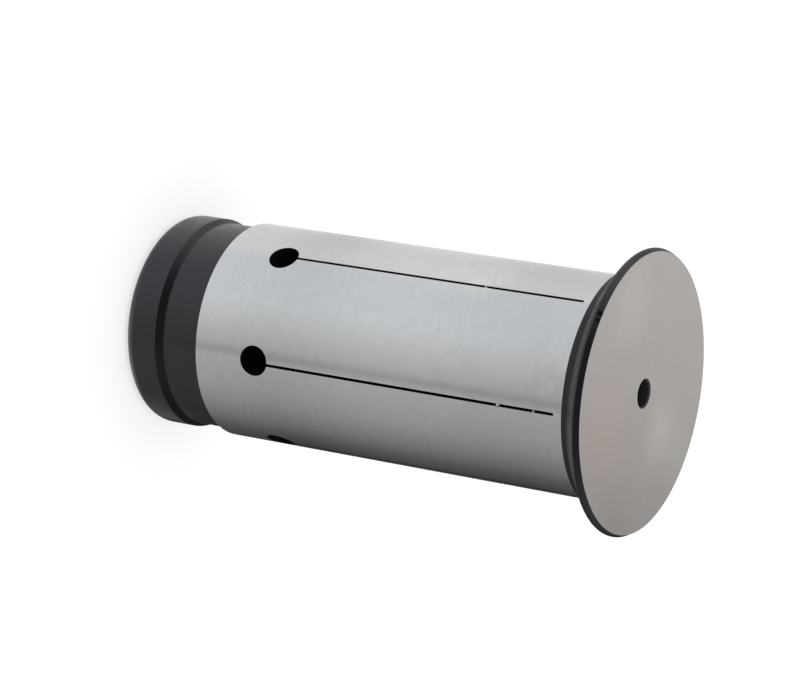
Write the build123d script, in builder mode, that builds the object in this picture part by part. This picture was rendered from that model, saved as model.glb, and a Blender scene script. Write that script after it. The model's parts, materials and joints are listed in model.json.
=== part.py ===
"""Reduction collet for a hydraulic chuck: one turned, slotted and ground steel sleeve.

It stands on its rear end. Z = 0 is the rear end face and +Z points out of the front face.
"""
import os
from math import radians, tan

from build123d import *

# Diameters
shank_diameter = 25.0
tool_diameter = 3.0
relief_bore_diameter = 8.0
ring_diameter = 24.7
neck_diameter = 23.8
seat_diameter = 26.4
rim_diameter = 32.0

# Lengths along the axis, from the rear end to the front face
ring_length = 4.4
shoulder_length = 0.8
neck_length = 4.85
ground_length = 47.0
seat_length = 0.6
flare_length = 2.0
rim_length = 0.85

# The clamping bore reaches this deep behind the front face, and a wider bore goes on to the rear
clamping_depth = 39.0
drill_point_angle = 120.0

# Slits with a round relief hole at their rear end
slit_count = 6
first_slit_angle = 40.0
slit_width = 0.33
slit_front_margin = 1.25
relief_hole_diameter = 3.5
relief_hole_setback = 7.85

# Rounded and broken edges
rear_rounding = 1.4
shoulder_rounding = 0.6
neck_root_rounding = 0.3
flare_rounding = 0.4
rim_chamfer_length = 0.55
rim_chamfer_depth = 0.3
ground_edge_chamfer = 0.1
tool_bore_chamfer = 0.18
relief_bore_chamfer = 0.5

# Stations that follow from the lengths
shoulder_start = ring_length
neck_start = shoulder_start + shoulder_length
ground_start = neck_start + neck_length
seat_start = ground_start + ground_length
flare_start = seat_start + seat_length
rim_start = flare_start + flare_length
front_face = rim_start + rim_length

shank_radius = shank_diameter / 2
tool_radius = tool_diameter / 2
relief_bore_radius = relief_bore_diameter / 2
ring_radius = ring_diameter / 2
neck_radius = neck_diameter / 2
seat_radius = seat_diameter / 2
rim_radius = rim_diameter / 2

# The drill point joins the two bores with a cone
clamping_end = front_face - clamping_depth
drill_point_length = (relief_bore_radius - tool_radius) / tan(radians(drill_point_angle / 2))
relief_bore_end = clamping_end - drill_point_length

relief_hole_height = ground_start + relief_hole_setback
slit_front_end = seat_start - slit_front_margin
slit_length = slit_front_end - relief_hole_height

with BuildPart() as collet_sleeve:
    # The whole turned section, from the bores out to the rim
    with BuildSketch(Plane.XZ):
        with BuildLine():
            Polyline(
                (relief_bore_radius, relief_bore_end),
                (relief_bore_radius, 0),
                (ring_radius, 0),
                (ring_radius, shoulder_start),
                (neck_radius, neck_start),
                (neck_radius, ground_start),
                (shank_radius, ground_start),
                (shank_radius, seat_start),
                (seat_radius, seat_start),
                (seat_radius, flare_start),
                (rim_radius, rim_start),
                (rim_radius, front_face - rim_chamfer_length),
                (rim_radius - rim_chamfer_depth, front_face),
                (tool_radius, front_face),
                (tool_radius, clamping_end),
                close=True,
            )
        make_face()
    revolve(axis=Axis.Z)

    turned_edges = collet_sleeve.edges().filter_by(GeomType.CIRCLE)
    rear_edges = turned_edges.group_by(Axis.Z)[0].sort_by(SortBy.RADIUS)
    front_edges = turned_edges.group_by(Axis.Z)[-1].sort_by(SortBy.RADIUS)
    shoulder_root = turned_edges.filter_by_position(Axis.Z, neck_start, neck_start)
    flare_edge = turned_edges.filter_by_position(Axis.Z, rim_start, rim_start)
    land_edges = turned_edges.filter_by_position(Axis.Z, ground_start, ground_start).sort_by(SortBy.RADIUS)
    fillet(rear_edges[-1], rear_rounding)
    fillet(shoulder_root, shoulder_rounding)
    fillet(land_edges[0], neck_root_rounding)
    fillet(flare_edge, flare_rounding)
    chamfer(land_edges[-1], ground_edge_chamfer)
    chamfer(rear_edges[0], relief_bore_chamfer)
    chamfer(front_edges[0], tool_bore_chamfer)

    # Each slit and its relief hole are one keyhole shape, cut from the axis out through the wall
    slit_turns = PolarLocations(0, slit_count, start_angle=first_slit_angle)
    slit_planes = [Plane(turn * Plane.YZ.location) for turn in slit_turns]
    with BuildSketch(*slit_planes):
        with Locations((0, relief_hole_height)):
            Circle(relief_hole_diameter / 2)
        with Locations((0, relief_hole_height + slit_length / 2)):
            SlotOverall(slit_length, slit_width, rotation=90)
    extrude(amount=rim_radius, mode=Mode.SUBTRACT)

collet_sleeve.part.label = "collet_sleeve"
os.makedirs("parts", exist_ok=True)
export_step(collet_sleeve.part, "parts/collet_sleeve.step")
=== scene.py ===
import json
from math import cos, hypot, pi, radians, sin

import bmesh
import bpy
from mathutils import Matrix, Quaternion, Vector


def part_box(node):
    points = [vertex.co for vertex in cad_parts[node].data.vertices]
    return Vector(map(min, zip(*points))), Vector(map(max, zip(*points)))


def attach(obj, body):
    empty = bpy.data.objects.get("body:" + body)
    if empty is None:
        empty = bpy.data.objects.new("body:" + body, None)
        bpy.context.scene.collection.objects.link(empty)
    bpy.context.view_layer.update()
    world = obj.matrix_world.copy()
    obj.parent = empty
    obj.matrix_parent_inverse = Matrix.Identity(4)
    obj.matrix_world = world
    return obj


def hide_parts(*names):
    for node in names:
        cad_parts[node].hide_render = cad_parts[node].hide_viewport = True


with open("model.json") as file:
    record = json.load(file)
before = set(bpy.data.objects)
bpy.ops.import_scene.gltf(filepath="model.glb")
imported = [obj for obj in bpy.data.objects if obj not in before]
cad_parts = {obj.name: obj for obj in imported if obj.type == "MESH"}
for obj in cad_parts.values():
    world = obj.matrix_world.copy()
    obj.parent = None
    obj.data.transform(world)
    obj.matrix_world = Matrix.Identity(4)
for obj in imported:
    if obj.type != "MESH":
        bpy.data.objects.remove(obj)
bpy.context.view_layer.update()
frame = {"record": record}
scene = bpy.context.scene
mm = 0.001
print("frame loaded")

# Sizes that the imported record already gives, in millimetres
mounts = {mount["name"]: mount for mount in frame["record"]["mounts"]}
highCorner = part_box("collet_sleeve")[1]
shankRadius = mounts["chuck_shank"]["dims"]["r_mm"]
toolRadius = mounts["tool_bore"]["dims"]["r_mm"]
rimRadius = highCorner.x / mm
frontFace = highCorner.z / mm

# The turned sleeve, in millimetres. Heights go up from the rear end
sleeve = {
    "ringRadius": 12.35,
    "ringTop": 4.4,
    "rearRounding": 1.4,
    "neckRadius": 11.9,
    "neckStart": 5.2,
    "shoulderRounding": 0.157,
    "neckRootRounding": 0.3,
    "groundStart": 10.05,
    "groundChamfer": 0.1,
    "seatStart": 57.05,
    "seatRadius": 13.2,
    "flareStart": 57.65,
    "flareEnd": 59.65,
    "flareRounding": 0.206,
    "rimChamferLength": 0.55,
    "rimChamferDepth": 0.3,
    "boreChamfer": 0.18,
    "clampingEnd": 21.5,
    "reliefRadius": 4.0,
    "reliefTop": 20.06,
    "reliefChamfer": 0.5,
    "edgeBreak": 0.05,
    "turns": 288,  # steps round the axis
    "sharpAngle": 35,  # a sharper edge than this stays crisp, in degrees
}


# Rounds or chamfers one corner of a wire, by the length that it takes off each side
def easeCorner(bm, corner, length, steps):
    bmesh.ops.bevel(bm, geom=[corner], offset=length * mm, offset_type="OFFSET", segments=steps,
                    profile=0.5, affect="VERTICES", material=-1)


def turnSleeve(values):
    chamfer, small, fine, smooth = 1, 3, 6, 14  # steps in each kind of edge
    corners = [  # radius, height, length taken off each side, and steps
        (values["reliefRadius"], 0, values["reliefChamfer"], chamfer),
        (values["ringRadius"], 0, values["rearRounding"], smooth),
        (values["ringRadius"], values["ringTop"], values["edgeBreak"], small),
        (values["neckRadius"], values["neckStart"], values["shoulderRounding"], fine),
        (values["neckRadius"], values["groundStart"], values["neckRootRounding"], fine),
        (shankRadius, values["groundStart"], values["groundChamfer"], chamfer),
        (shankRadius, values["seatStart"], 0, 0),
        (values["seatRadius"], values["seatStart"], values["edgeBreak"], small),
        (values["seatRadius"], values["flareStart"], values["edgeBreak"], small),
        (rimRadius, values["flareEnd"], values["flareRounding"], fine),
        (rimRadius, frontFace - values["rimChamferLength"], values["edgeBreak"], small),
        (rimRadius - values["rimChamferDepth"], frontFace, values["edgeBreak"], small),
        (toolRadius, frontFace, values["boreChamfer"], chamfer),
        (toolRadius, values["clampingEnd"], 0, 0),
        (values["reliefRadius"], values["reliefTop"], 0, 0),
    ]
    bm = bmesh.new()
    points = [bm.verts.new((radius * mm, 0, height * mm)) for radius, height, length, steps in corners]
    for first, second in zip(points, points[1:] + points[:1]):
        bm.edges.new((first, second))
    for point, (radius, height, length, steps) in zip(points, corners):
        if length:
            easeCorner(bm, point, length, steps)
    bmesh.ops.spin(bm, geom=bm.verts[:] + bm.edges[:], cent=(0, 0, 0), axis=(0, 0, 1), dvec=(0, 0, 0),
                   angle=2 * pi, steps=values["turns"], use_merge=True, use_duplicate=False)
    bmesh.ops.recalc_face_normals(bm, faces=bm.faces[:])
    return bm


def objectFrom(bm, name):
    mesh = bpy.data.meshes.new(name)
    bm.to_mesh(mesh)
    bm.free()
    made = bpy.data.objects.new(name, mesh)
    scene.collection.objects.link(made)
    return made


# Slits through the wall, each ending at the rear in a round relief hole
slits = {
    "count": 6,
    "firstAngle": 40,
    "width": 0.33,
    "drift": (0, 0, 0, -0.5, 1.2, 0.6),  # how far each slit runs beside its hole's middle, in degrees
    "frontEnd": 55.8,
    "endRounding": 0.15,
    "endSteps": 5,
    "holeHeight": 17.9,
    "holeRadius": 1.75,
    "holeSegments": 80,
    "slitStart": 1.0,  # the cutters reach from here out past the shank
    "holeStart": 3.55,
    "cutterEnd": 14.0,
    "edgeBreak": 0.035,
    "breakSteps": 2,
    "breakAngle": 50,  # only an edge sharper than this is broken, in degrees
}


def slitTurns(values, drift):
    step = 360 / values["count"]
    return [Matrix.Rotation(radians(values["firstAngle"] + step * number + drift[number]), 4, "Z")
            for number in range(values["count"])]


def slitCutter(values):
    nearly = 0.01 * mm
    bm = bmesh.new()
    depth = values["cutterEnd"] - values["slitStart"]
    height = values["frontEnd"] - values["holeHeight"]
    middle = Vector((values["slitStart"] + depth / 2, 0, values["holeHeight"] + height / 2))
    for turn in slitTurns(values, values["drift"]):
        block = bmesh.ops.create_cube(bm, size=1)["verts"]
        bmesh.ops.scale(bm, vec=(depth * mm, values["width"] * mm, height * mm), verts=block)
        bmesh.ops.translate(bm, vec=middle * mm, verts=block)
        top = max(point.co.z for point in block)
        frontEdges = [edge for edge in bm.edges  # the two that run outwards at the front end
                      if all(end in block and top - end.co.z < nearly for end in edge.verts)
                      and abs(edge.verts[0].co.x - edge.verts[1].co.x) > depth * mm / 2]
        rounded = bmesh.ops.bevel(bm, geom=frontEdges, offset=values["endRounding"] * mm,
                                  offset_type="OFFSET", segments=values["endSteps"], profile=0.5,
                                  affect="EDGES", material=-1)
        whole = set(point for point in block if point.is_valid) | set(rounded["verts"])
        bmesh.ops.transform(bm, matrix=turn, verts=list(whole))
    bmesh.ops.recalc_face_normals(bm, faces=bm.faces[:])
    return objectFrom(bm, "slitCutter")


def holeCutter(values):
    bm = bmesh.new()
    depth = (values["cutterEnd"] - values["holeStart"]) * mm
    lay = Matrix.Rotation(pi / 2, 4, "Y")
    move = Matrix.Translation(Vector((values["holeStart"] * mm + depth / 2, 0, values["holeHeight"] * mm)))
    radius = values["holeRadius"] * mm
    for turn in slitTurns(values, (0,) * values["count"]):
        bmesh.ops.create_cone(bm, cap_ends=True, segments=values["holeSegments"], radius1=radius,
                              radius2=radius, depth=depth, matrix=turn @ move @ lay)
    bmesh.ops.recalc_face_normals(bm, faces=bm.faces[:])
    return objectFrom(bm, "holeCutter")


def cutAway(piece, cutters):
    for cutter in cutters:
        cut = piece.modifiers.new(cutter.name, "BOOLEAN")
        cut.operation = "DIFFERENCE"
        cut.solver = "EXACT"
        cut.object = cutter
    graph = bpy.context.evaluated_depsgraph_get()
    whole = piece.data
    piece.data = bpy.data.meshes.new_from_object(piece.evaluated_get(graph))
    piece.data.name = piece.name
    piece.modifiers.clear()
    bpy.data.meshes.remove(whole)
    for cutter in cutters:
        bpy.data.meshes.remove(cutter.data)


# Breaks the sharp outer edges of the slits and the relief holes
def breakSlitEdges(piece, values):
    slack, margin, tiny = 0.02 * mm, 0.5 * mm, 0.0005 * mm
    bm = bmesh.new()
    bm.from_mesh(piece.data)
    outside = shankRadius * mm - slack
    low = (values["holeHeight"] - values["holeRadius"]) * mm - margin
    high = values["frontEnd"] * mm + margin
    bmesh.ops.dissolve_degenerate(bm, dist=tiny, edges=bm.edges[:])
    sharp = [edge for edge in bm.edges
             if edge.is_manifold and edge.calc_face_angle() > radians(values["breakAngle"])
             and all(hypot(end.co.x, end.co.y) > outside and low < end.co.z < high for end in edge.verts)]
    bmesh.ops.bevel(bm, geom=sharp, offset=values["edgeBreak"] * mm, offset_type="OFFSET",
                    segments=values["breakSteps"], profile=0.5, affect="EDGES", clamp_overlap=True,
                    material=-1)
    bm.to_mesh(piece.data)
    bm.free()
    print("slit edges broken:", len(sharp))


# A knock has left two small dents in the rim's chamfer
nick = {
    "dents": [(235.1, 60.2, 0.17), (238.1, 60.26, 0.13)],  # turn, height and depth of each
    "reach": 15.85,
    "ball": 0.46,  # radius of the ball that presses each
    "flatten": 0.8,
    "fineness": 4,
    "lean": 28.6,  # the chamfer's slope, in degrees
}


def nickCutter(values):
    bm = bmesh.new()
    for turn, height, depth in values["dents"]:
        ball = bmesh.ops.create_icosphere(bm, subdivisions=values["fineness"],
                                          radius=values["ball"] * mm)["verts"]
        bmesh.ops.scale(bm, vec=(1, values["flatten"], 1), verts=ball)
        out = Vector((cos(radians(values["lean"])), 0, sin(radians(values["lean"]))))
        place = Vector((values["reach"], 0, height)) + out * (values["ball"] - depth)
        bmesh.ops.translate(bm, vec=place * mm, verts=ball)
        bmesh.ops.transform(bm, matrix=Matrix.Rotation(radians(turn), 4, "Z"), verts=ball)
    return objectFrom(bm, "nickCutter")


sleevePiece = objectFrom(turnSleeve(sleeve), "colletSleeve")
print("sleeve turned:", len(sleevePiece.data.polygons), "faces")
cutAway(sleevePiece, [slitCutter(slits), holeCutter(slits), nickCutter(nick)])
breakSlitEdges(sleevePiece, slits)
print("slits cut:", len(sleevePiece.data.polygons), "faces")


# Node helpers
def addNode(tree, kind, settings=(), inputs=()):
    node = tree.nodes.new(kind)
    for name, value in dict(settings).items():
        setattr(node, name, value)
    for socket, value in dict(inputs).items():
        if isinstance(value, bpy.types.NodeSocket):
            tree.links.new(value, node.inputs[socket])
        else:
            node.inputs[socket].default_value = value
    return node


def newMaterial(name):
    made = bpy.data.materials.new(name)
    made.use_nodes = True
    return made, made.node_tree, made.node_tree.nodes["Principled BSDF"]


def newGroup(name, inputs, outputs):
    group = bpy.data.node_groups.new(name, "ShaderNodeTree")
    for title, kind, value in inputs:
        socket = group.interface.new_socket(title, in_out="INPUT", socket_type=kind)
        if value is not None:
            socket.default_value = value
    for title, kind in outputs:
        group.interface.new_socket(title, in_out="OUTPUT", socket_type=kind)
    return group, group.nodes.new("NodeGroupInput"), group.nodes.new("NodeGroupOutput")


# Soft clouds between two values, with the size of a cloud in millimetres
def buildMottle():
    lowest, highest = 0.3, 0.7  # the noise seldom leaves this span
    group, given, result = newGroup("mottle", [
        ("Place", "NodeSocketVector", None), ("Size", "NodeSocketFloat", 1),
        ("Detail", "NodeSocketFloat", 2), ("Low", "NodeSocketFloat", 0),
        ("High", "NodeSocketFloat", 1)], [("Value", "NodeSocketFloat")])
    scale = addNode(group, "ShaderNodeMath", {"operation": "DIVIDE"}, {0: 1 / mm, 1: given.outputs["Size"]})
    noise = addNode(group, "ShaderNodeTexNoise", {"noise_dimensions": "3D"}, {
        "Vector": given.outputs["Place"], "Scale": scale.outputs[0], "Detail": given.outputs["Detail"],
        "Roughness": 0.55})
    span = addNode(group, "ShaderNodeMapRange", {"interpolation_type": "SMOOTHSTEP"}, {
        "Value": noise.outputs[0], "From Min": lowest, "From Max": highest,
        "To Min": given.outputs["Low"], "To Max": given.outputs["High"]})
    group.links.new(span.outputs[0], result.inputs["Value"])
    return group


# Fine uneven lines, each at one value of Along, as a grinding wheel or a turning tool leaves them
def buildCutLines():
    driftScale = 180  # bends of a line in a metre
    group, given, result = newGroup("cutLines", [
        ("Along", "NodeSocketFloat", 0), ("Place", "NodeSocketVector", None),
        ("Pitch", "NodeSocketFloat", 0.1), ("Wander", "NodeSocketFloat", 0.3)],
        [("Height", "NodeSocketFloat")])
    drift = addNode(group, "ShaderNodeTexNoise", {"noise_dimensions": "3D"}, {
        "Vector": given.outputs["Place"], "Scale": driftScale, "Detail": 1})
    sway = addNode(group, "ShaderNodeMath", {"operation": "MULTIPLY"}, {
        0: drift.outputs[0], 1: given.outputs["Wander"]})
    steps = addNode(group, "ShaderNodeMath", {"operation": "DIVIDE"}, {
        0: given.outputs["Along"], 1: given.outputs["Pitch"]})
    count = addNode(group, "ShaderNodeMath", {"operation": "MULTIPLY_ADD"}, {
        0: steps.outputs[0], 1: 1 / mm, 2: sway.outputs[0]})
    lines = addNode(group, "ShaderNodeTexNoise", {"noise_dimensions": "1D"}, {
        "W": count.outputs[0], "Scale": 1, "Detail": 3, "Roughness": 0.6})
    group.links.new(lines.outputs[0], result.inputs["Height"])
    return group


# A soft round patch, strongest in its middle
def buildSoftPatch():
    group, given, result = newGroup("softPatch", [
        ("Place", "NodeSocketVector", None), ("Middle", "NodeSocketVector", None),
        ("Radius", "NodeSocketFloat", 0.003), ("Strength", "NodeSocketFloat", 1)],
        [("Mask", "NodeSocketFloat")])
    gap = addNode(group, "ShaderNodeVectorMath", {"operation": "DISTANCE"}, {
        0: given.outputs["Place"], 1: given.outputs["Middle"]})
    mask = addNode(group, "ShaderNodeMapRange", {"interpolation_type": "SMOOTHSTEP"}, {
        "Value": gap.outputs["Value"], "From Min": 0, "From Max": given.outputs["Radius"],
        "To Min": given.outputs["Strength"], "To Max": 0})
    group.links.new(mask.outputs[0], result.inputs["Mask"])
    return group


mottle = buildMottle()
cutLines = buildCutLines()
softPatch = buildSoftPatch()


def addMottle(tree, place, size, detail, span=(0, 1)):
    return addNode(tree, "ShaderNodeGroup", {"node_tree": mottle}, {
        "Place": place, "Size": size, "Detail": detail, "Low": span[0], "High": span[1]}).outputs[0]


# Sockets 6 and 7 of a Mix node are its colours, and output 2 is the mixed one
def mixColours(tree, factor, first, second, blend="MIX"):
    return addNode(tree, "ShaderNodeMix", {"data_type": "RGBA", "blend_type": blend}, {
        "Factor": factor, 6: first, 7: second}).outputs[2]


# Lays soft patches over a colour: plain uneven patches on the front face, and painted reflection and
# painted shade on the shank, the shoulder and the rim's chamfer. Each is a turn, reach, height, radius and
# strength, and its colour
def addPatches(tree, place, colour, patchesAndPaintedLight):
    for turn, reach, height, radius, strength, tint in patchesAndPaintedLight:
        middle = Vector((reach * cos(radians(turn)), reach * sin(radians(turn)), height)) * mm
        patch = addNode(tree, "ShaderNodeGroup", {"node_tree": softPatch}, {
            "Place": place, "Middle": middle, "Radius": radius * mm, "Strength": strength})
        colour = mixColours(tree, patch.outputs[0], colour, (*tint, 1))
    return colour


# The normal of a surface with cut lines, and with fine grain over them
def addTexture(tree, place, along, detail, values):
    lines = addNode(tree, "ShaderNodeGroup", {"node_tree": cutLines}, {
        "Along": along, "Place": place, "Pitch": values["linePitch"], "Wander": values["lineWander"]})
    lineBump = addNode(tree, "ShaderNodeBump", (), {
        "Strength": 1, "Distance": values["lineHeight"] * mm, "Height": lines.outputs[0]})
    grain = addMottle(tree, place, values["grainSize"], detail)
    return addNode(tree, "ShaderNodeBump", (), {
        "Strength": 1, "Distance": values["grainHeight"] * mm, "Height": grain,
        "Normal": lineBump.outputs[0]}).outputs[0]


def linkFinish(tree, shader, colour, rough, normal):
    tree.links.new(colour, shader.inputs["Base Color"])
    tree.links.new(rough, shader.inputs["Roughness"])
    tree.links.new(normal, shader.inputs["Normal"])


# The shank is ground to fit its chuck
shankFinish = {
    "colour": (0.644, 0.639, 0.64, 1),
    "shade": (0.615, 0.622, 0.633, 1),
    "streak": (0.608, 0.612, 0.616, 1),
    "roughness": (0.11, 0.15),
    "cloudSize": 4,
    "streakSize": 1.7,
    "streakStretch": 2,  # how much longer a grinding mark is than it is wide
    "roughSize": 1.3,
    "grainSize": 0.8,
    "grainHeight": 0.0045,
    "linePitch": 0.12,
    "lineHeight": 0.0006,
    "lineWander": 4,
    # Soft patches of painted light: a warm, light painted reflection round the middle of the shank (turns
    # 200 to 214), and painted shade at the rear end and next to the flange
    "patchesAndPaintedLight": [
        (214, 12.5, 40.5, 4, 0.95, (0.735, 0.715, 0.665)),
        (214, 12.5, 44, 4, 0.95, (0.735, 0.725, 0.67)),
        (200, 12.5, 42, 7, 0.6, (0.66, 0.65, 0.63)),
        (218, 12.5, 11, 5, 0.6, (0.585, 0.59, 0.6)),
        (262, 12.5, 56, 9, 0.85, (0.54, 0.536, 0.53)),
        (200, 12.5, 55, 8, 0.7, (0.585, 0.588, 0.592)),
    ],
}


def groundShank(values):
    made, tree, shader = newMaterial("groundShank")
    place = addNode(tree, "ShaderNodeTexCoord").outputs["Object"]
    axes = addNode(tree, "ShaderNodeSeparateXYZ", (), {0: place})
    clouds = addMottle(tree, place, values["cloudSize"], 4)
    colour = mixColours(tree, clouds, values["colour"], values["shade"])
    patched = addPatches(tree, place, colour, values["patchesAndPaintedLight"])
    squeezed = addNode(tree, "ShaderNodeVectorMath", {"operation": "MULTIPLY"}, {
        0: place, 1: (1, 1, values["streakStretch"])})
    marks = addMottle(tree, squeezed.outputs[0], values["streakSize"], 3)
    marked = mixColours(tree, marks, patched, values["streak"])
    rough = addMottle(tree, place, values["roughSize"], 5, values["roughness"])
    normal = addTexture(tree, place, axes.outputs["Z"], 4, values)
    shader.inputs["Metallic"].default_value = 1
    linkFinish(tree, shader, marked, rough, normal)
    return made


# The front face is ground too, a little duller, with soft uneven patches
faceFinish = {
    "colour": (0.598, 0.569, 0.558, 1),
    "shade": (0.576, 0.557, 0.55, 1),
    "roughness": (0.24, 0.3),
    "cloudSize": 4,
    "roughSize": 2,
    "grainSize": 1.2,
    "grainHeight": 0.001,
    "linePitch": 0.15,
    "lineHeight": 0.0002,
    "lineWander": 3,
    "patchesAndPaintedLight": [
        (295, 9.7, 60.5, 9.5, 0.9, (0.648, 0.566, 0.545)),
        (268, 12, 60.5, 5, 0.6, (0.63, 0.56, 0.535)),
        (232, 12.5, 60.5, 5, 0.5, (0.65, 0.595, 0.585)),
        (207, 11.5, 60.5, 6.5, 0.8, (0.68, 0.655, 0.64)),
        (50, 7.5, 60.5, 6.5, 1, (0.705, 0.68, 0.645)),
        (57, 13, 60.5, 5, 0.8, (0.645, 0.635, 0.62)),
        (345, 15.5, 60.5, 7.5, 0.9, (0.55, 0.52, 0.5)),
    ],
}


def groundFace(values):
    made, tree, shader = newMaterial("groundFace")
    place = addNode(tree, "ShaderNodeTexCoord").outputs["Object"]
    flat = addNode(tree, "ShaderNodeVectorMath", {"operation": "MULTIPLY"}, {0: place, 1: (1, 1, 0)})
    reach = addNode(tree, "ShaderNodeVectorMath", {"operation": "LENGTH"}, {0: flat.outputs[0]})
    clouds = addMottle(tree, place, values["cloudSize"], 5)
    colour = mixColours(tree, clouds, values["colour"], values["shade"])
    patched = addPatches(tree, place, colour, values["patchesAndPaintedLight"])
    rough = addMottle(tree, place, values["roughSize"], 5, values["roughness"])
    normal = addTexture(tree, place, reach.outputs["Value"], 4, values)
    shader.inputs["Metallic"].default_value = 1
    linkFinish(tree, shader, patched, rough, normal)
    return made


# Everything that the wheel didn't touch keeps its dark oxide film. It is duller on the flare, which shows
# its turning marks, dullest on the shoulder and the rim's chamfer, which carry painted reflection, and
# greyer in the bore's mouth
oxideFinish = {
    "colour": (0.0052, 0.0042, 0.0065, 1),
    "shade": (0.003, 0.002, 0.004, 1),
    "tint": (0.925, 0.92, 1, 1),
    "gloss": 0.66,
    "roughness": (0.29, 0.36),
    "cloudSize": 3,
    "roughSize": 1,
    "grainSize": 0.3,
    "grainHeight": 0.003,
    "linePitch": 0.3,
    "lineHeight": 0.001,
    "lineWander": 2,
}
flareFinish = {
    **oxideFinish,
    "colour": (0.006, 0.006, 0.008, 1),
    "shade": (0.004, 0.004, 0.006, 1),
    "tint": (0.95, 0.93, 1, 1),
    "gloss": 0.5,
    "roughness": (0.4, 0.5),
    "cloudSize": 2,
    "grainHeight": 0.004,
    "linePitch": 0.35,
    "lineHeight": 0.025,
}
dullFinish = {
    **oxideFinish,
    "gloss": 0.18,
    "roughness": (0.33, 0.4),
    # Painted reflection: lighter patches on the shoulder and the rim's chamfer, strongest at turns 210 to
    # 212
    "patchesAndPaintedLight": [
        (210, 12.12, 4.8, 8.5, 1, (0.044, 0.044, 0.047)),
        (296, 12.12, 4.8, 5, 1, (0.011, 0.011, 0.013)),
        (212, 15.85, 60.2, 10.5, 1, (0.052, 0.052, 0.055)),
        (325, 15.85, 60.2, 12.5, 1, (0.024, 0.024, 0.025)),
    ],
}
boreFinish = {
    **oxideFinish,
    "colour": (0.028, 0.027, 0.033, 1),
    "shade": (0.021, 0.0205, 0.026, 1),
    "tint": (1, 1, 1, 1),
    "gloss": 0.24,
    "roughness": (0.35, 0.45),
    "cloudSize": 0.8,
    "grainHeight": 0.004,
    "lineHeight": 0.004,
}


def darkOxide(name, values):
    made, tree, shader = newMaterial(name)
    place = addNode(tree, "ShaderNodeTexCoord").outputs["Object"]
    axes = addNode(tree, "ShaderNodeSeparateXYZ", (), {0: place})
    clouds = addMottle(tree, place, values["cloudSize"], 4)
    colour = mixColours(tree, clouds, values["colour"], values["shade"])
    patched = addPatches(tree, place, colour, values.get("patchesAndPaintedLight", ()))
    rough = addMottle(tree, place, values["roughSize"], 4, values["roughness"])
    normal = addTexture(tree, place, axes.outputs["Z"], 3, values)
    shader.inputs["Specular IOR Level"].default_value = values["gloss"]
    shader.inputs["Specular Tint"].default_value = values["tint"]
    linkFinish(tree, shader, patched, rough, normal)
    return made


# Nothing polishes the walls of the slits and the relief holes, so they keep their dark oxide; this finish
# makes them black and dull as painted shade in these narrow recesses. The dents in the rim have the same
# finish, which paints them dark as painted shade
wallShadeFinish = {
    "colour": (0.004, 0.004, 0.004, 1),
    "shade": (0.002, 0.002, 0.002, 1),
    "roughness": (0.7, 0.85),
    "gloss": 0.15,
    "roughSize": 0.5,
    "grainSize": 0.12,
    "grainHeight": 0.01,
}


def shadedWall(values):
    made, tree, shader = newMaterial("shadedWall")
    place = addNode(tree, "ShaderNodeTexCoord").outputs["Object"]
    grain = addMottle(tree, place, values["grainSize"], 3)
    colour = mixColours(tree, grain, values["colour"], values["shade"])
    rough = addMottle(tree, place, values["roughSize"], 3, values["roughness"])
    bump = addNode(tree, "ShaderNodeBump", (), {
        "Strength": 1, "Distance": values["grainHeight"] * mm, "Height": grain})
    shader.inputs["Specular IOR Level"].default_value = values["gloss"]
    linkFinish(tree, shader, colour, rough, bump.outputs[0])
    return made


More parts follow.
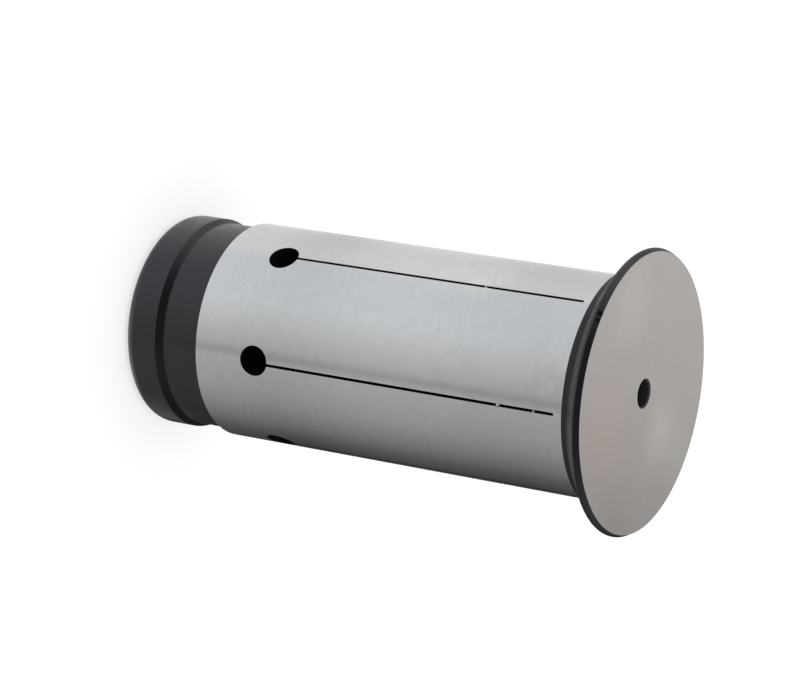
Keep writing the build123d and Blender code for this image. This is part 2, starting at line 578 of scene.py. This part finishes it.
# Gives each area its finish. The wheel ground only the shank and the front face bright
def paintSleeve(piece, values, cuts, knocks):
    finishes = {
        "shank": groundShank(shankFinish),
        "face": groundFace(faceFinish),
        "oxide": darkOxide("darkOxide", oxideFinish),
        "wall": shadedWall(wallShadeFinish),
        "flare": darkOxide("turnedOxide", flareFinish),
        "bore": darkOxide("boreOxide", boreFinish),
        "dull": darkOxide("dullOxide", dullFinish),
    }
    numbers = {area: number for number, area in enumerate(finishes)}
    piece.data.materials.clear()
    for finish in finishes.values():
        piece.data.materials.append(finish)
    slack, skin, margin, rimBand = 0.02, 0.03, 0.1, 1  # in millimetres
    upright, facing, edgeOn, flush = 0.9, 0.5, 0.3, 0.99  # how closely a face's normal has to fit
    lowCut = cuts["holeHeight"] - cuts["holeRadius"] - margin
    highCut = cuts["frontEnd"] + margin
    chamferStart = frontFace - values["rimChamferLength"]
    lean = radians(knocks["lean"])
    dents = [Vector((knocks["reach"] * cos(radians(turn)), knocks["reach"] * sin(radians(turn)), height))
             for turn, height, depth in knocks["dents"]]
    for face in piece.data.polygons:
        place = face.center / mm
        reach = place.to_2d().length
        outwards = Vector((place.x, place.y, 0)).normalized()
        turnedOut = outwards.dot(face.normal)
        slope = outwards * cos(lean) + Vector((0, 0, sin(lean)))
        onFace = place.z > frontFace - slack and face.normal.z > upright
        onShank = (reach > shankRadius - values["groundChamfer"] - slack and turnedOut > facing
                   and values["groundStart"] < place.z < values["seatStart"])
        onFlare = (reach > shankRadius + slack
                   and values["seatStart"] - slack < place.z < values["flareEnd"] - values["edgeBreak"])
        inBore = (reach < toolRadius + values["boreChamfer"] and place.z > values["clampingEnd"]
                  and turnedOut < -facing)
        onWall = (toolRadius < reach < shankRadius - skin and lowCut < place.z < highCut
                  and abs(turnedOut) < edgeOn)
        onShoulder = (reach > values["neckRadius"]
                      and values["ringTop"] < place.z < values["neckStart"] + margin)
        onChamfer = reach > rimRadius - rimBand and place.z > chamferStart - slack and not onFace
        # The dents take the walls' near-black finish, which paints shade into their hollows
        inDent = (onChamfer and slope.dot(face.normal) < flush
                  and any((place - dent).length < knocks["ball"] for dent in dents))
        area = ("bore" if inBore else "wall" if onWall or inDent else "face" if onFace
                else "shank" if onShank else "flare" if onFlare
                else "dull" if onShoulder or onChamfer else "oxide")
        face.material_index = numbers[area]
    piece.data.shade_smooth()
    piece.data.set_sharp_from_angle(angle=radians(values["sharpAngle"]))
    even = piece.modifiers.new("evenShading", "WEIGHTED_NORMAL")
    even.keep_sharp = True


paintSleeve(sleevePiece, sleeve, slits, nick)
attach(sleevePiece, "root")
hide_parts("collet_sleeve")
print("materials set")

# Bright specks of swarf caught in the mouths of the slits: turn, height and size of each
swarf = {
    "specks": [(219.5, 43.85, 0.13), (281.2, 49.05, 0.2), (281.4, 53.4, 0.12)],
    "flatten": 0.45,
    "stretch": 1.3,
    "fineness": 2,
}


def makeSwarf(values):
    bm = bmesh.new()
    for turn, height, size in values["specks"]:
        speck = bmesh.ops.create_icosphere(bm, subdivisions=values["fineness"], radius=size * mm)["verts"]
        bmesh.ops.scale(bm, vec=(values["flatten"], 1, values["stretch"]), verts=speck)
        reach = shankRadius - size * values["flatten"]
        bmesh.ops.translate(bm, vec=Vector((reach, 0, height)) * mm, verts=speck)
        bmesh.ops.transform(bm, matrix=Matrix.Rotation(radians(turn), 4, "Z"), verts=speck)
    return objectFrom(bm, "swarf")


swarfPiece = makeSwarf(swarf)
swarfPiece.data.materials.append(sleevePiece.data.materials[0])
swarfPiece.data.shade_smooth()
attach(swarfPiece, "root")
print("swarf placed:", len(swarf["specks"]), "specks")

# The camera. Its azimuth is counted about the sleeve's axis from +X, and it is rolled because the sleeve
# stands on its rear end here and lies across the picture
view = {
    "aim": (-1.827, 0.143, 30.159),
    "distance": 344.136,
    "azimuth": -96.035,
    "elevation": 28.601,
    "roll": 99.203,
    "lens": 134.073,
}


def placeCamera(values):
    data = bpy.data.cameras.new("camera")
    data.lens = values["lens"]
    data.clip_start = 0.01
    data.clip_end = 10
    camera = bpy.data.objects.new("camera", data)
    scene.collection.objects.link(camera)
    turn, rise = radians(values["azimuth"]), radians(values["elevation"])
    back = Vector((cos(turn) * cos(rise), sin(turn) * cos(rise), sin(rise)))
    camera.location = (Vector(values["aim"]) + back * values["distance"]) * mm
    camera.rotation_mode = "QUATERNION"
    upright = (-back).to_track_quat("-Z", "Y")
    camera.rotation_quaternion = upright @ Quaternion((0, 0, 1), radians(values["roll"]))
    scene.camera = camera


placeCamera(view)
print("camera placed")

# Even white light all round, and a pale floor that keeps the sleeve's shadow
floor = {
    "size": 3,  # metres from its middle to each side
    "colour": (0.5, 0.5, 0.5, 1),
    "lift": 0.6,  # added for the camera only, so that the open floor is white
}


def whiteWorld():
    world = bpy.data.worlds.new("studioWorld")
    world.use_nodes = True
    world.node_tree.nodes["Background"].inputs["Color"].default_value = (1, 1, 1, 1)
    world.node_tree.nodes["Background"].inputs["Strength"].default_value = 1
    scene.world = world


def paleFloor(values):
    bm = bmesh.new()
    bmesh.ops.create_grid(bm, x_segments=1, y_segments=1, size=values["size"])
    piece = objectFrom(bm, "floor")
    made, tree, shader = newMaterial("paleFloor")
    seen = addNode(tree, "ShaderNodeLightPath")
    lift = addNode(tree, "ShaderNodeMath", {"operation": "MULTIPLY"}, {
        0: seen.outputs["Is Camera Ray"], 1: values["lift"]})
    shader.inputs["Base Color"].default_value = values["colour"]
    shader.inputs["Roughness"].default_value = 1
    shader.inputs["Specular IOR Level"].default_value = 0
    shader.inputs["Emission Color"].default_value = (1, 1, 1, 1)
    tree.links.new(lift.outputs[0], shader.inputs["Emission Strength"])
    piece.data.materials.append(made)
    piece.visible_glossy = False  # the metal shows the light tent instead


whiteWorld()
paleFloor(floor)


def onlyReflected(piece):
    piece.visible_camera = False
    piece.visible_diffuse = False
    piece.visible_shadow = False
    piece.visible_volume_scatter = False


# A round light tent, seen only in reflections. Its stops are counted in degrees round the sleeve's axis,
# from straight behind the sleeve as the camera sees it, and those of wallFall in millimetres of height.
# The shank reflects the bands and their fall, the shoulder the crown, which is dark on the camera's side,
# and the rim's chamfer and the front face the upper part. Each later part blends in between two heights
tent = {
    "radius": 250,
    "bands": [
        (0, (0.5, 0.5, 0.5)),
        (12, (0.88, 0.88, 0.88)),
        (30, (0.85, 0.85, 0.85)),
        (86, (1, 1, 1)),
        (100, (0.88, 0.92, 0.95)),
        (150, (0.88, 0.92, 0.95)),
        (160, (0.86, 0.88, 0.88)),
        (198, (0.61, 0.62, 0.63)),
        (206, (0.43, 0.43, 0.45)),
        (211, (0.6, 0.6, 0.6)),
        (250, (0.46, 0.46, 0.46)),
        (304, (0.14, 0.14, 0.14)),
        (324, (0.08, 0.08, 0.08)),
        (344, (0.06, 0.06, 0.06)),
        (360, (0.5, 0.5, 0.5)),
    ],
    "wallFall": [
        (-118, (1, 1, 1)),
        (-113, (0.95, 0.95, 0.95)),
        (-109, (0.83, 0.83, 0.83)),
        (-105, (0.83, 0.83, 0.83)),
        (-101, (0.93, 0.93, 0.93)),
        (-96, (1, 1, 1)),
        (-81, (1, 1, 1)),
        (-76, (0.945, 0.945, 0.95)),
        (-70, (0.905, 0.905, 0.905)),
        (-68, (0.87, 0.87, 0.87)),
        (-50, (0.95, 0.95, 0.95)),
        (-20, (1, 1, 1)),
    ],
    "crown": [
        (0, (0.7, 0.7, 0.69)),
        (30, (0.75, 0.745, 0.735)),
        (60, (0.62, 0.62, 0.62)),
        (84, (0.79, 0.79, 0.79)),
        (100, (0.73, 0.73, 0.73)),
        (116, (0.54, 0.54, 0.54)),
        (132, (0.33, 0.33, 0.33)),
        (148, (0.16, 0.16, 0.16)),
        (165, (0.08, 0.08, 0.08)),
        (196, (0.09, 0.09, 0.09)),
        (216, (0.13, 0.13, 0.13)),
        (244, (0.16, 0.16, 0.16)),
        (280, (0.11, 0.11, 0.11)),
        (335, (0.11, 0.11, 0.11)),
        (360, (0.7, 0.7, 0.69)),
    ],
    "crownFrom": -20,
    "crownFull": 75,
    "upper": [
        (0, (0.63, 0.62, 0.605)),
        (8, (0.7, 0.69, 0.675)),
        (30, (0.75, 0.745, 0.735)),
        (60, (0.62, 0.62, 0.62)),
        (84, (0.79, 0.79, 0.79)),
        (116, (0.54, 0.54, 0.54)),
        (240, (0.55, 0.545, 0.54)),
        (320, (0.5, 0.49, 0.48)),
        (350, (0.37, 0.36, 0.35)),
        (360, (0.63, 0.62, 0.605)),
    ],
    "upperFrom": 62,
    "upperFull": 106,
    "roof": [
        (0, (0.78, 0.78, 0.77)),
        (360, (0.78, 0.78, 0.77)),
    ],
    "roofFrom": 182,
    "roofFull": 220,
    "under": [
        (0, (0.7, 0.7, 0.7)),
        (116, (0.68, 0.69, 0.7)),
        (150, (0.92, 0.92, 0.93)),
        (180, (1, 1, 1)),
        (320, (1, 1, 1)),
        (360, (0.7, 0.7, 0.7)),
    ],
    "underFrom": -152,
    "underFull": -190,
}


# A colour ramp whose stops lie between low and high, read at a place from 0 to 1
def stopRamp(tree, place, stops, low, high):
    ramp = addNode(tree, "ShaderNodeValToRGB", (), {"Fac": place})
    marks = ramp.color_ramp.elements
    while len(marks) > 1:
        marks.remove(marks[0])
    for number, (value, colour) in enumerate(stops):
        position = (value - low) / (high - low)
        mark = marks[0] if number == 0 else marks.new(position)
        mark.position = position
        mark.color = (*colour, 1)
    return ramp.outputs["Color"]


def lightTent(values, camera):
    bm = bmesh.new()
    bmesh.ops.create_uvsphere(bm, u_segments=64, v_segments=32, radius=values["radius"] * mm)
    bmesh.ops.reverse_faces(bm, faces=bm.faces[:])
    piece = objectFrom(bm, "lightTent")
    made, tree, shader = newMaterial("lightTent")
    place = addNode(tree, "ShaderNodeTexCoord").outputs["Object"]
    turned = addNode(tree, "ShaderNodeMapping", {"vector_type": "POINT"}, {
        "Vector": place, "Rotation": (0, 0, -radians(camera["azimuth"]))})
    axes = addNode(tree, "ShaderNodeSeparateXYZ", (), {0: turned.outputs[0]})
    angle = addNode(tree, "ShaderNodeMath", {"operation": "ARCTAN2"}, {
        0: axes.outputs["Y"], 1: axes.outputs["X"]})
    turn = addNode(tree, "ShaderNodeMapRange", (), {
        "Value": angle.outputs[0], "From Min": -pi, "From Max": pi})
    wall = stopRamp(tree, turn.outputs[0], values["bands"], 0, 360)
    low, high = -values["radius"] / 2, 0  # the stretch of heights that the shank reflects
    level = addNode(tree, "ShaderNodeMapRange", (), {
        "Value": axes.outputs["Z"], "From Min": low * mm, "From Max": high * mm})
    fall = stopRamp(tree, level.outputs[0], values["wallFall"], low, high)
    glow = mixColours(tree, 1, wall, fall, "MULTIPLY")
    for part in ("crown", "upper", "roof", "under"):
        colour = stopRamp(tree, turn.outputs[0], values[part], 0, 360)
        step = addNode(tree, "ShaderNodeMapRange", {"interpolation_type": "SMOOTHSTEP"}, {
            "Value": axes.outputs["Z"], "From Min": values[part + "From"] * mm,
            "From Max": values[part + "Full"] * mm})
        glow = mixColours(tree, step.outputs[0], glow, colour)
    shader.inputs["Base Color"].default_value = (0, 0, 0, 1)
    shader.inputs["Specular IOR Level"].default_value = 0
    shader.inputs["Emission Strength"].default_value = 1
    tree.links.new(glow, shader.inputs["Emission Color"])
    piece.data.materials.append(made)
    onlyReflected(piece)


# A small card beside the rear ring. It brightens the ring's lower side in the picture, but not the neck's
card = {
    "level": 0.36,
    "turn": -7,
    "reach": 17,
    "halfWidth": 6.5,
    "low": -12,
    "high": -0.7,
}


def bounceCard(values):
    bm = bmesh.new()
    corners = [(values["reach"], side * values["halfWidth"], values[end])
               for side, end in ((-1, "low"), (1, "low"), (1, "high"), (-1, "high"))]
    bm.faces.new([bm.verts.new(Vector(corner) * mm) for corner in corners])
    bmesh.ops.transform(bm, matrix=Matrix.Rotation(radians(values["turn"]), 4, "Z"), verts=bm.verts[:])
    piece = objectFrom(bm, "bounceCard")
    made, tree, shader = newMaterial("bounceCard")
    shader.inputs["Base Color"].default_value = (0, 0, 0, 1)
    shader.inputs["Specular IOR Level"].default_value = 0
    shader.inputs["Emission Color"].default_value = (1, 1, 1, 1)
    shader.inputs["Emission Strength"].default_value = values["level"]
    piece.data.materials.append(made)
    onlyReflected(piece)


lightTent(tent, view)
bounceCard(card)
print("light and floor set")
scene.view_settings.view_transform = "Standard"

print("scene ready")
